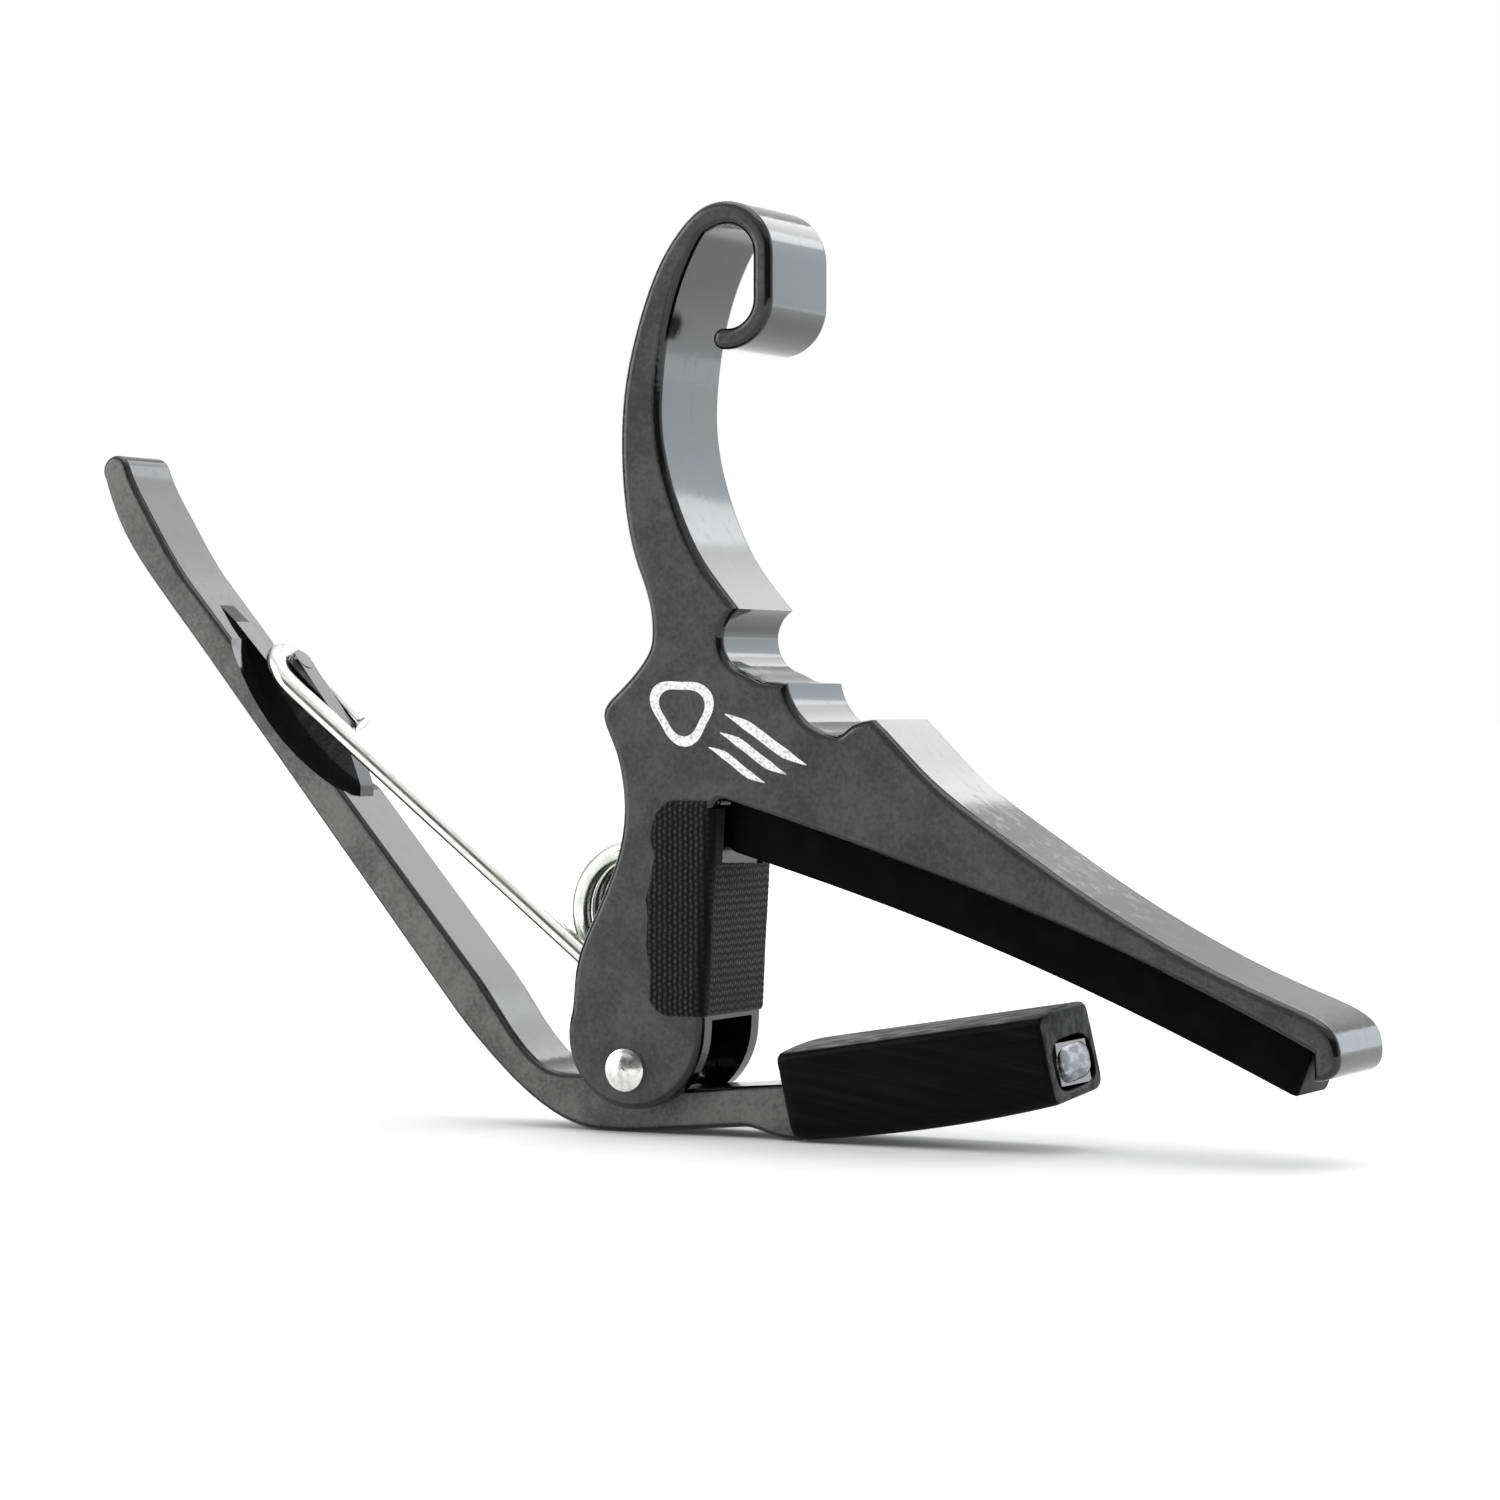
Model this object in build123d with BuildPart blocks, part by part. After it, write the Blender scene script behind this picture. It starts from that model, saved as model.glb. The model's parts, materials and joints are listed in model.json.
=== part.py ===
import os
from math import cos, radians, sin

from build123d import *

os.makedirs("parts", exist_ok=True)

# ---- driving dimensions (mm), all profile points are measured from the hinge pivot ----
PIVOT_X = -4.35         # hinge pivot in the assembly frame
PIVOT_Z = 6.25          # pivot height above the table
BODY_W = 12.7           # frame width
EDGE_R = 0.8            # rounding of the frame's side edges
SLOT_W = 8.3            # lever and spring slot through the lower leg
WEB_X = 5.9             # inner face of the front web of that slot
WEB_END_Z = 4.9         # the web's lower end, below it the slot is open at the front too
ROOF_Z = 25.0           # roof of the slot
LEVER_W = 8.0           # lever bar width
LEVER_EDGE_R = 0.6
BOSS_R = 4.4            # lever boss round the rivet
RIVET_D = 3.4
RIVET_HEAD_D = 4.2
RIVET_HEAD_H = 0.75
BORE_D = 3.5            # running fit of the lever on the rivet
PAD_W = 8.0             # string pad width
GROOVE_DEPTH = 1.5      # depth of the pad's groove in the bar
SLEEVE_W = 11.6
SLEEVE_ROLL = 4.5       # degrees
STRIP_T = 0.45          # fabric thickness
STRIP_FRONT_TOP = 19.6
WIRE_D = 2.0            # spring wire
COIL_X, COIL_Z = -1.75, 14.75
COIL_R = 6.15           # mean coil radius
COIL_PITCH = 2.42
COIL_ARCS = 10          # arcs that make up the turns
COIL_END_Y = 2.85       # the coil runs from -y to +y of this
LEG_Y = 2.65            # half spread of the hook's two legs
LEG_X, LEG_Z = -0.79, 0.613     # direction of the long leg from coil to hook
HOOK_X, HOOK_Z = -43.7, 40.25   # crossbar of the hook
FIN_W = 2.4             # fin between the hook's legs

SIDE = Plane(origin=(PIVOT_X, 0, PIVOT_Z), x_dir=(1, 0, 0), z_dir=(0, -1, 0))
# the sleeve sits rolled on the tongue: its far side is higher, its near face stays in place
SLEEVE_PLANE = Plane(origin=(PIVOT_X, 0, PIVOT_Z + 5.8 * sin(radians(SLEEVE_ROLL))), x_dir=(1, 0, 0),
                     z_dir=(0, -cos(radians(SLEEVE_ROLL)), -sin(radians(SLEEVE_ROLL))))
# plane along the straight inner face of the lever handle, x down the handle, y out of the face
HANDLE = Plane(origin=(PIVOT_X - 46.6, 0, PIVOT_Z + 40.97), x_dir=(0.658, 0, -0.753), z_dir=(0, -1, 0))


def at(x, y, z):
    """Assembly point from pivot-relative x and z."""
    return (PIVOT_X + x, y, PIVOT_Z + z)


# ---- frame: hooked upper handle, body, string bar and slotted lower leg ----
with BuildPart() as frame:
    with BuildSketch(SIDE):
        with BuildLine():
            # hook: outside, round tip and inside
            hook_top = CenterArc((10.35, 77.55), 5.15, 90, -90)
            hook_side = Line(hook_top @ 1, (15.5, 73.35))
            hook_low = CenterArc((10.78, 73.35), 4.72, 0, -98)
            hook_in = CenterArc((10.78, 73.35), 2.72, -98, 98)
            TangentArc(hook_low @ 1, hook_in @ 0, tangent=hook_low % 1)
            hook_in_side = Line(hook_in @ 1, (13.5, 77.4))
            # inside of the curl and front of the upper handle down to the first ridge
            curl = Spline(hook_in_side @ 1, (12.6, 79.65), (10.55, 80.5), (8.6, 79.9), (7.2, 78.3),
                          tangents=((0, 1), (-0.5, -0.87)))
            Spline(curl @ 1, (4.75, 72.2), (3.7, 66.0), (3.6, 62.0), (4.65, 56.4), (7.15, 50.3), (11.9, 44.1),
                   tangents=((-0.5, -0.87), (0.66, -0.75)))
            # two finger notches between three ridges
            notch_1 = ThreePointArc((11.9, 44.1), (10.3, 40.8), (12.6, 38.1))
            step = Spline(notch_1 @ 1, (14.4, 37.3), (17.1, 37.05), tangents=(notch_1 % 1, (1, -0.05)))
            notch_2 = ThreePointArc(step @ 1, (19.2, 33.45), (22.1, 32.2))
            root = Spline(notch_2 @ 1, (23.6, 32.9), (26.2, 33.65), tangents=(notch_2 % 1, (1, 0.05)))
            # top of the string bar and rounded nose
            bar_top = Spline(root @ 1, (31.5, 28.55), (39.4, 22.9), (47.5, 17.75), (55.0, 13.6), (62.6, 10.1),
                             (68.0, 8.0), tangents=((0.75, -0.66), (0.93, -0.37)))
            nose = Spline(bar_top @ 1, (71.65, 4.5), (69.3, 1.75), tangents=((0.93, -0.37), (-1, 0)))
            # lip and arched underside
            Line(nose @ 1, (69.2, 4.2))
            Spline((69.2, 4.2), (58.7, 9.2), (39.2, 16.9), (18.7, 23.5), (9.4, 26.2))
            # throat and rounded lower end
            throat = Line((9.4, 26.2), (8.15, 3.6))
            toe = TangentArc(throat @ 1, (1.2, -3.75), tangent=throat % 1)
            heel = TangentArc(toe @ 1, (-6.3, 5.0), tangent=toe % 1)
            # hollow back, bump and waist
            hollow = Spline(heel @ 1, (-5.75, 9.5), (-3.95, 14.2), (-1.5, 19.5), (-0.45, 25.5), (-1.2, 30.0),
                            (-2.3, 32.6), tangents=(heel % 1, (-0.42, 0.91)))
            bump = Spline(hollow @ 1, (-2.65, 34.2), (-1.7, 35.7), tangents=((-0.42, 0.91), (0.75, 0.66)))
            waist = Spline(bump @ 1, (0.9, 38.2), (2.35, 40.3), (2.6, 42.6), tangents=((0.75, 0.66), (-0.05, 1)))
            # back of the upper handle up to the hook
            Spline(waist @ 1, (0.8, 48.9), (-0.4, 54.6), (-0.72, 60.0), (-0.25, 66.0), (1.2, 71.7), (3.55, 77.3),
                   (6.4, 81.0), hook_top @ 0, tangents=((-0.05, 1), (1, 0)))
        make_face()
        fillet(vertices().sort_by_distance((9.4, 26.2))[0], radius=1.0)
    extrude(amount=BODY_W / 2, both=True)
    fillet(faces().filter_by(Axis.Y).edges(), radius=EDGE_R)
    # slot for lever and spring, open at the back, below, and at the front under the web
    with BuildSketch(SIDE):
        with BuildLine():
            Polyline((-12, -8), (12, -8), (12, WEB_END_Z), (WEB_X, WEB_END_Z), (WEB_X, ROOF_Z), (-12, ROOF_Z), close=True)
        make_face()
        fillet(vertices().sort_by_distance((WEB_X, ROOF_Z))[0], radius=0.4)
    extrude(amount=SLOT_W / 2, both=True, mode=Mode.SUBTRACT)
    # rivet hole through both cheeks
    with BuildSketch(SIDE):
        Circle(RIVET_D / 2)
    extrude(amount=BODY_W, both=True, mode=Mode.SUBTRACT)
    # blind hole in the slot roof for the spring's fixed leg
    with BuildSketch(Plane(origin=at(COIL_X + COIL_R, COIL_END_Y, ROOF_Z - 4))):
        Circle(WIRE_D / 2)
    extrude(amount=7.0, mode=Mode.SUBTRACT)
    # groove for the string pad
    with BuildSketch(SIDE):
        with BuildLine():
            ceiling = Spline((10.0, 26.05 + GROOVE_DEPTH), (18.7, 23.5 + GROOVE_DEPTH), (39.2, 16.9 + GROOVE_DEPTH),
                             (58.7, 9.2 + GROOVE_DEPTH), (69.3, 4.15 + GROOVE_DEPTH))
            Polyline(ceiling @ 1, (69.5, 0), (10.0, 10), ceiling @ 0)
        make_face()
    extrude(amount=PAD_W / 2, both=True, mode=Mode.SUBTRACT)
frame.part.label = "frame"
export_step(frame.part, "parts/frame.step")

# ---- string pad: rubber strip seated in the groove, hanging below the bar ----
with BuildPart() as string_pad:
    with BuildSketch(SIDE):
        with BuildLine():
            seat = Spline((10.0, 26.05 + GROOVE_DEPTH), (18.7, 23.5 + GROOVE_DEPTH), (39.2, 16.9 + GROOVE_DEPTH),
                          (58.7, 9.2 + GROOVE_DEPTH), (69.3, 4.15 + GROOVE_DEPTH))
            Polyline(seat @ 1, (69.1, 4.4), (66.9, 0.0))
            sole = Spline((66.9, 0.0), (57.4, 4.35), (37.9, 12.3), (21.7, 17.7), (10.0, 21.1))
            Polyline(sole @ 1, seat @ 0)
        make_face()
    extrude(amount=PAD_W / 2, both=True)
    fillet(edges().filter_by(lambda e: e.length > 50).sort_by(Axis.Z)[:2], radius=0.4)
string_pad.part.label = "string_pad"
export_step(string_pad.part, "parts/string_pad.step")

# ---- throat strip: woven strip folded round the front of the lower leg ----
with BuildPart() as throat_strip:
    with BuildSketch(SIDE):
        with BuildLine():
            edge = Spline((4.7, 26.0), (2.85, 23.3), (3.35, 20.8), (2.55, 18.0), (2.4, 12.0), (2.75, 6.9), (4.2, 5.4))
            Polyline(edge @ 1, (8.25 + STRIP_T, 5.4), (9.375 + STRIP_T, 25.75), (9.0, 26.0), edge @ 0)
        make_face()
    extrude(amount=BODY_W / 2 + STRIP_T, both=True)
    fillet(edges().filter_by(lambda e: 20 < e.length < 21).sort_by(Axis.X)[-2:], radius=EDGE_R + STRIP_T)
    # hollow that takes the leg
    with BuildSketch(SIDE):
        Polygon((-5, 0), (8.15 - 0.2, 0), (8.15, 3.6), (9.4, 26.2), (9.5, 28), (-5, 28), align=None)
    extrude(amount=BODY_W / 2, both=True, mode=Mode.SUBTRACT)
    # above the jaw corner only the two side flaps remain
    with BuildSketch(SIDE):
        Polygon((6, STRIP_FRONT_TOP), (14, STRIP_FRONT_TOP), (14, 30), (6, 30), align=None)
    extrude(amount=BODY_W / 2, both=True, mode=Mode.SUBTRACT)
throat_strip.part.label = "throat_strip"
export_step(throat_strip.part, "parts/throat_strip.step")

# ---- pivot rivet: shank with a domed head on each side ----
with BuildPart() as pivot_rivet:
    with BuildSketch(Plane(origin=at(0, 0, 0), x_dir=(0, 1, 0), z_dir=(0, 0, 1))):
        with BuildLine():
            head = Polyline((0, RIVET_D / 2), (BODY_W / 2, RIVET_D / 2), (BODY_W / 2, RIVET_HEAD_D / 2),
                            (BODY_W / 2 + 0.3, RIVET_HEAD_D / 2 - 0.05), (BODY_W / 2 + 0.42, 1.65))
            TangentArc((BODY_W / 2 + RIVET_HEAD_H, 0), head @ 1, tangent=(0, 1))
            mirror(about=Plane.YZ)
            Line((-BODY_W / 2 - RIVET_HEAD_H, 0), (BODY_W / 2 + RIVET_HEAD_H, 0))
        make_face()
    revolve(axis=Axis(at(0, 0, 0), (0, 1, 0)))
pivot_rivet.part.label = "pivot_rivet"
export_step(pivot_rivet.part, "parts/pivot_rivet.step")

# ---- lever: handle with side scoops, bend with pivot boss, jaw arm ending in a tongue ----
with BuildPart() as lever:
    with BuildSketch(SIDE):
        with BuildLine():
            outer = Spline((-62.75, 58.2), (-60.7, 53.2), (-56.2, 47.0), (-49.8, 39.5),
                           tangents=((0.3, -1), (0.643, -0.766)))
            Line(outer @ 1, (-21.0, 5.2))
            bend = Spline((-21.0, 5.2), (-16.7, 0.7), (-11.3, -3.7), (-6.0, -6.0), (-2.8, -6.25), (2.6, -5.95),
                          (11.2, -5.2), tangents=((0.643, -0.766), (1, 0.085)))
            foot = Spline(bend @ 1, (14.2, -5.8), (17.6, -6.2), tangents=((1, 0.085), (1, -0.02)))
            Polyline(foot @ 1, (17.38, -4.87), (44.15, 0.03), (43.45, 3.97), (16.6, -0.85), (5.2, -1.8))
            Line((5.2, -1.8), (-5.7, -0.85))
            inner = Spline((-5.7, -0.85), (-10.2, -0.4), (-13.4, 2.2), (-19.2, 9.6),
                           tangents=((-1, 0.02), (-0.658, 0.753)))
            Line(inner @ 1, (-52.3, 47.5))
            tip = Spline((-52.3, 47.5), (-57.1, 54.4), (-59.95, 59.6), tangents=((-0.658, 0.753), (-0.3, 0.8)))
            ThreePointArc(tip @ 1, (-61.55, 60.65), outer @ 0)
        make_face()
    extrude(amount=LEVER_W / 2, both=True)
    fillet(faces().filter_by(Axis.Y).edges(), radius=LEVER_EDGE_R)
    # boss round the rivet
    with BuildSketch(SIDE):
        Circle(BOSS_R)
    extrude(amount=LEVER_W / 2, both=True)
    # scoop in each side of the handle's inner face, leaving the middle web
    with BuildSketch(HANDLE):
        with BuildLine():
            scoop = ThreePointArc((-1.0, 0.0), (8.6, -2.0), (19.4, 0.0))
            Polyline(scoop @ 1, (19.4, 4), (-1.0, 4), scoop @ 0)
        make_face()
    extrude(amount=LEVER_W, both=True, mode=Mode.SUBTRACT)
    # fin between the hook's legs: low ramp under the crossbar, full height below it
    with BuildSketch(HANDLE):
        Polygon((-8.4, -1.2), (-7.8, -0.3), (-3.0, 0.36), (3.4, 0.58), (6.0, 0.6), (6.0, -2.0), align=None)
    extrude(amount=FIN_W / 2, both=True)
    with BuildSketch(HANDLE):
        Polygon((4.8, -1.2), (4.8, 3.5), (13.6, 2.95), (19.4, 0.75), (20.4, -0.2), (20.4, -1.2), (8.6, -3.2), align=None)
        fillet(vertices().sort_by_distance((13.6, 2.95))[0], radius=6)
    extrude(amount=FIN_W / 2, both=True)
    with BuildSketch(Plane(origin=HANDLE.from_local_coords((4.8, -1.2, 0)), x_dir=HANDLE.x_dir, z_dir=HANDLE.y_dir)):
        Circle(FIN_W / 2)
    extrude(amount=4.7)
    # running bore on the rivet
    with BuildSketch(SIDE):
        Circle(BORE_D / 2)
    extrude(amount=LEVER_W, both=True, mode=Mode.SUBTRACT)
lever.part.label = "lever"
export_step(lever.part, "parts/lever.step")

# ---- neck sleeve: rubber block pushed over the tongue of the jaw arm ----
with BuildPart() as neck_sleeve:
    with BuildSketch(SLEEVE_PLANE):
        with BuildLine():
            back = Line((15.75, 2.03), (42.9, 6.5))
            face = Line(back @ 1, (44.5, -1.6))
            belly = ThreePointArc(face @ 1, (31.2, -4.5), (17.3, -6.25))
            Line(belly @ 1, back @ 0)
        make_face()
    extrude(amount=SLEEVE_W / 2, both=True)
    fillet(edges().filter_by(lambda e: e.length > 20).sort_by(Axis.Z)[-2:], radius=0.9)
    fillet(edges().filter_by(lambda e: e.length > 20).sort_by(Axis.Z)[:2], radius=1.4)
    # pocket filled by the arm's foot and tongue
    add(lever.part, mode=Mode.SUBTRACT)
neck_sleeve.part.label = "neck_sleeve"
export_step(neck_sleeve.part, "parts/neck_sleeve.step")

# ---- torsion spring, fixed part: coil and the leg held in the slot roof ----
# helix placed whole: it starts where the long leg meets the coil
turns = Plane(origin=at(COIL_X, -COIL_END_Y, COIL_Z), x_dir=(-LEG_Z, 0, LEG_X), z_dir=(0, 1, 0)) * Helix(
    pitch=COIL_PITCH, height=2 * COIL_END_Y, radius=COIL_R, lefthand=True)

with BuildPart() as spring_coil:
    with BuildLine() as coil_path:
        # the turns as short arcs through points of the helix, so that every face is a piece of a torus
        for k in range(COIL_ARCS):
            ThreePointArc(turns @ (k / COIL_ARCS), turns @ ((k + 0.5) / COIL_ARCS), turns @ ((k + 1) / COIL_ARCS))
        Line(turns @ 1, at(COIL_X + COIL_R, COIL_END_Y, ROOF_Z + 2.8))
    with BuildSketch(Plane(origin=turns @ 0, z_dir=turns % 0)):
        Circle(WIRE_D / 2)
    sweep(path=coil_path.wires()[0])
spring_coil.part.label = "spring_coil"
export_step(spring_coil.part, "parts/spring_coil.step")

# ---- torsion spring, moving part: long leg and the hook that straddles the lever's fin ----
with BuildPart() as spring_arm:
    with BuildLine() as arm_path:
        leg = Line(at(COIL_X - COIL_R * LEG_Z + 0.12 * LEG_X, -COIL_END_Y, COIL_Z + COIL_R * LEG_X + 0.12 * LEG_Z),
                   at(-39.6, -LEG_Y, 36.1))
        hook = Spline(leg @ 1, at(HOOK_X + 0.6, -1.9, HOOK_Z - 0.7), at(HOOK_X, 0, HOOK_Z),
                      at(HOOK_X + 0.65, 1.9, HOOK_Z - 0.5), at(-41.2, LEG_Y, 38.0),
                      tangents=(leg % 1, (0.745, 0, -0.667)))
        Line(hook @ 1, at(-35.5, LEG_Y, 32.9))
    with BuildSketch(Plane(origin=arm_path.line @ 0, z_dir=arm_path.line % 0)):
        Circle(WIRE_D / 2)
    sweep(transition=Transition.ROUND)
spring_arm.part.label = "spring_arm"
export_step(spring_arm.part, "parts/spring_arm.step")
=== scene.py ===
import json
import math

import bmesh
import bpy
import numpy as np
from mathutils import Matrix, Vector


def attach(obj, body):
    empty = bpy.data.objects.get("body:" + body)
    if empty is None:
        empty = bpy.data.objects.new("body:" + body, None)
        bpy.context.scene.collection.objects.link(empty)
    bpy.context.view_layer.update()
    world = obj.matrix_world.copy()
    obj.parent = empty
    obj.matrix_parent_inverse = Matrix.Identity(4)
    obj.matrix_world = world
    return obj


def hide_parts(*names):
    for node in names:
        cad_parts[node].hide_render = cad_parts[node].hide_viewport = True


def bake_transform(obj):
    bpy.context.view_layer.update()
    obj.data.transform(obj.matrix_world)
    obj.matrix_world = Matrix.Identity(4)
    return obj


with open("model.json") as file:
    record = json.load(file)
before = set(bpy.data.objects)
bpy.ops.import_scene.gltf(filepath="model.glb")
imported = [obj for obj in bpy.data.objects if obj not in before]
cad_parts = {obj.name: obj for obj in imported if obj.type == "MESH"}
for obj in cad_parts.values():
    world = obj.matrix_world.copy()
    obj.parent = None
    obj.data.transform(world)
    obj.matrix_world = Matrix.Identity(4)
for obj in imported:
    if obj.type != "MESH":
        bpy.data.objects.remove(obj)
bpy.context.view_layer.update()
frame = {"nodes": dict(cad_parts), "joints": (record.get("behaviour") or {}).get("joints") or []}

# ---- reference points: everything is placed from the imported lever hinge, in millimetres ----
hinge = next(j for j in frame["joints"] if j["name"] == "lever_hinge")
arm_hinge = next(j for j in frame["joints"] if j["name"] == "spring_arm_hinge")
PX, PZ = hinge["pos_m"][0] * 1000, hinge["pos_m"][2] * 1000
COIL_X, COIL_Z = arm_hinge["pos_m"][0] * 1000 - PX, arm_hinge["pos_m"][2] * 1000 - PZ
HALF_W = 6.35           # half width of the frame


def at(x, y, z):
    """World point in metres from pivot-relative millimetres."""
    return ((PX + x) / 1000, y / 1000, (PZ + z) / 1000)


# ---- mesh helpers ----
def mesh_piece(name, verts, faces, material, smooth=True):
    mesh = bpy.data.meshes.new(name)
    mesh.from_pydata([tuple(v) for v in verts], [], faces)
    mesh.validate()
    mesh.update()
    piece = bpy.data.objects.new(name, mesh)
    bpy.context.scene.collection.objects.link(piece)
    mesh.materials.append(material)
    for p in mesh.polygons:
        p.use_smooth = smooth
    return piece


def loft(rings, close_start=True, close_end=True):
    """Verts and quads through rings that all have the same number of points."""
    n = len(rings[0])
    verts = [p for ring in rings for p in ring]
    faces = []
    for i in range(len(rings) - 1):
        for j in range(n):
            k = (j + 1) % n
            faces.append((i * n + j, i * n + k, (i + 1) * n + k, (i + 1) * n + j))
    if close_start:
        faces.append(tuple(reversed(range(n))))
    if close_end:
        last = (len(rings) - 1) * n
        faces.append(tuple(last + j for j in range(n)))
    return verts, faces


def outward(piece):
    """Makes every face look outwards."""
    bm = bmesh.new()
    bm.from_mesh(piece.data)
    bmesh.ops.recalc_face_normals(bm, faces=bm.faces)
    bm.to_mesh(piece.data)
    bm.free()
    return piece


def catmull(points, steps):
    """Smooth curve through points, with evenly shared steps per span."""
    p = [np.array(q, float) for q in points]
    p = [2 * p[0] - p[1]] + p + [2 * p[-1] - p[-2]]
    out = []
    for i in range(1, len(p) - 2):
        a, b, c, d = p[i - 1], p[i], p[i + 1], p[i + 2]
        ta = 0.0
        tb = ta + np.linalg.norm(b - a) ** 0.5
        tc = tb + np.linalg.norm(c - b) ** 0.5
        td = tc + np.linalg.norm(d - c) ** 0.5
        for s in range(steps):
            t = tb + (tc - tb) * s / steps
            a1 = (tb - t) / (tb - ta) * a + (t - ta) / (tb - ta) * b
            a2 = (tc - t) / (tc - tb) * b + (t - tb) / (tc - tb) * c
            a3 = (td - t) / (td - tc) * c + (t - tc) / (td - tc) * d
            b1 = (tc - t) / (tc - ta) * a1 + (t - ta) / (tc - ta) * a2
            b2 = (td - t) / (td - tb) * a2 + (t - tb) / (td - tb) * a3
            out.append((tc - t) / (tc - tb) * b1 + (t - tb) / (tc - tb) * b2)
    out.append(p[-2])
    return out


def tube_rings(path, radius, sides=28, bevel=0.12):
    """Rings of a round wire along a path, with a small bevel at both cut ends."""
    path = [np.array(q, float) for q in path]
    n = len(path)
    tangents = []
    for i in range(n):
        d = path[min(i + 1, n - 1)] - path[max(i - 1, 0)]
        tangents.append(d / np.linalg.norm(d))
    side = np.cross(tangents[0], (0.0, 1.0, 0.31))
    side /= np.linalg.norm(side)
    rings = []
    for i in range(n):
        side = side - tangents[i] * float(side @ tangents[i])
        side /= np.linalg.norm(side)
        up = np.cross(tangents[i], side)
        rings.append((path[i], side.copy(), up, tangents[i]))

    def ring(centre, a, b, r):
        return [centre + r * (math.cos(2 * math.pi * k / sides) * a + math.sin(2 * math.pi * k / sides) * b)
                for k in range(sides)]

    out = [ring(rings[0][0], rings[0][1], rings[0][2], radius - bevel)]
    out.append(ring(rings[0][0] + rings[0][3] * bevel, rings[0][1], rings[0][2], radius))
    for c, a, b, _ in rings[1:-1]:
        out.append(ring(c, a, b, radius))
    c, a, b, t = rings[-1]
    out.append(ring(c - t * bevel, a, b, radius))
    out.append(ring(c, a, b, radius - bevel))
    return out


# ---- materials ----
class Shader:
    """A Principled material with short calls for the nodes used here."""

    def __init__(self, name, color, rough, metallic=0.0, specular=0.5):
        self.material = bpy.data.materials.new(name)
        self.material.use_nodes = True
        self.material.diffuse_color = (*color, 1)
        self.nodes = self.material.node_tree.nodes
        self.links = self.material.node_tree.links
        self.bsdf = self.nodes["Principled BSDF"]
        self.set("Base Color", (*color, 1))
        self.set("Roughness", rough)
        self.set("Metallic", metallic)
        self.set("Specular IOR Level", specular)
        self.coord = self.nodes.new("ShaderNodeTexCoord")

    def set(self, socket, value):
        self.bsdf.inputs[socket].default_value = value
        return self

    def stretch(self, sx=1.0, sy=1.0, sz=1.0, turn=0.0):
        """Object coordinates, scaled, after a turn about Y."""
        m = self.nodes.new("ShaderNodeMapping")
        m.vector_type = "TEXTURE"
        m.inputs["Rotation"].default_value = (0, turn, 0)
        m.inputs["Scale"].default_value = (1 / sx, 1 / sy, 1 / sz)
        self.links.new(self.coord.outputs["Object"], m.inputs["Vector"])
        return m.outputs["Vector"]

    def noise(self, scale, detail=3.0, vector=None, roughness=0.5):
        n = self.nodes.new("ShaderNodeTexNoise")
        n.inputs["Scale"].default_value = scale
        n.inputs["Detail"].default_value = detail
        n.inputs["Roughness"].default_value = roughness
        self.links.new(vector or self.coord.outputs["Object"], n.inputs["Vector"])
        return n.outputs["Fac"]

    def math(self, op, a, b=0.0):
        n = self.nodes.new("ShaderNodeMath")
        n.operation = op
        for i, v in enumerate((a, b)):
            if isinstance(v, (int, float)):
                n.inputs[i].default_value = v
            else:
                self.links.new(v, n.inputs[i])
        return n.outputs[0]

    def remap(self, value, a, b, lo, hi):
        n = self.nodes.new("ShaderNodeMapRange")
        n.interpolation_type = "SMOOTHSTEP"
        for key, v in (("From Min", a), ("From Max", b), ("To Min", lo), ("To Max", hi)):
            if isinstance(v, (int, float)):
                n.inputs[key].default_value = v
            else:
                self.links.new(v, n.inputs[key])
        self.links.new(value, n.inputs["Value"])
        return n.outputs["Result"]

    def mix_color(self, fac, a, b):
        n = self.nodes.new("ShaderNodeMix")
        n.data_type = "RGBA"
        for i, v in ((6, a), (7, b)):
            if isinstance(v, tuple):
                n.inputs[i].default_value = (*v, 1)
            else:
                self.links.new(v, n.inputs[i])
        self.links.new(fac, n.inputs[0])
        return n.outputs[2]

    def mix(self, fac, a, b):
        """Number between a and b."""
        rest = self.math("MULTIPLY", self.math("SUBTRACT", 1.0, fac), a)
        return self.math("ADD", rest, self.math("MULTIPLY", fac, b))

    def normal_part(self, axis):
        n = self.nodes.new("ShaderNodeSeparateXYZ")
        self.links.new(self.coord.outputs["Normal"], n.inputs[0])
        return n.outputs[axis]

    def object_part(self, axis):
        n = self.nodes.new("ShaderNodeSeparateXYZ")
        self.links.new(self.coord.outputs["Object"], n.inputs[0])
        return n.outputs[axis]

    def link(self, value, socket):
        self.links.new(value, self.bsdf.inputs[socket])
        return self

    def bump(self, height, strength, distance):
        b = self.nodes.new("ShaderNodeBump")
        b.inputs["Distance"].default_value = distance
        if isinstance(strength, (int, float)):
            b.inputs["Strength"].default_value = strength
        else:
            self.links.new(strength, b.inputs["Strength"])
        self.links.new(height, b.inputs["Height"])
        self.links.new(b.outputs["Normal"], self.bsdf.inputs["Normal"])
        return self


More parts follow.
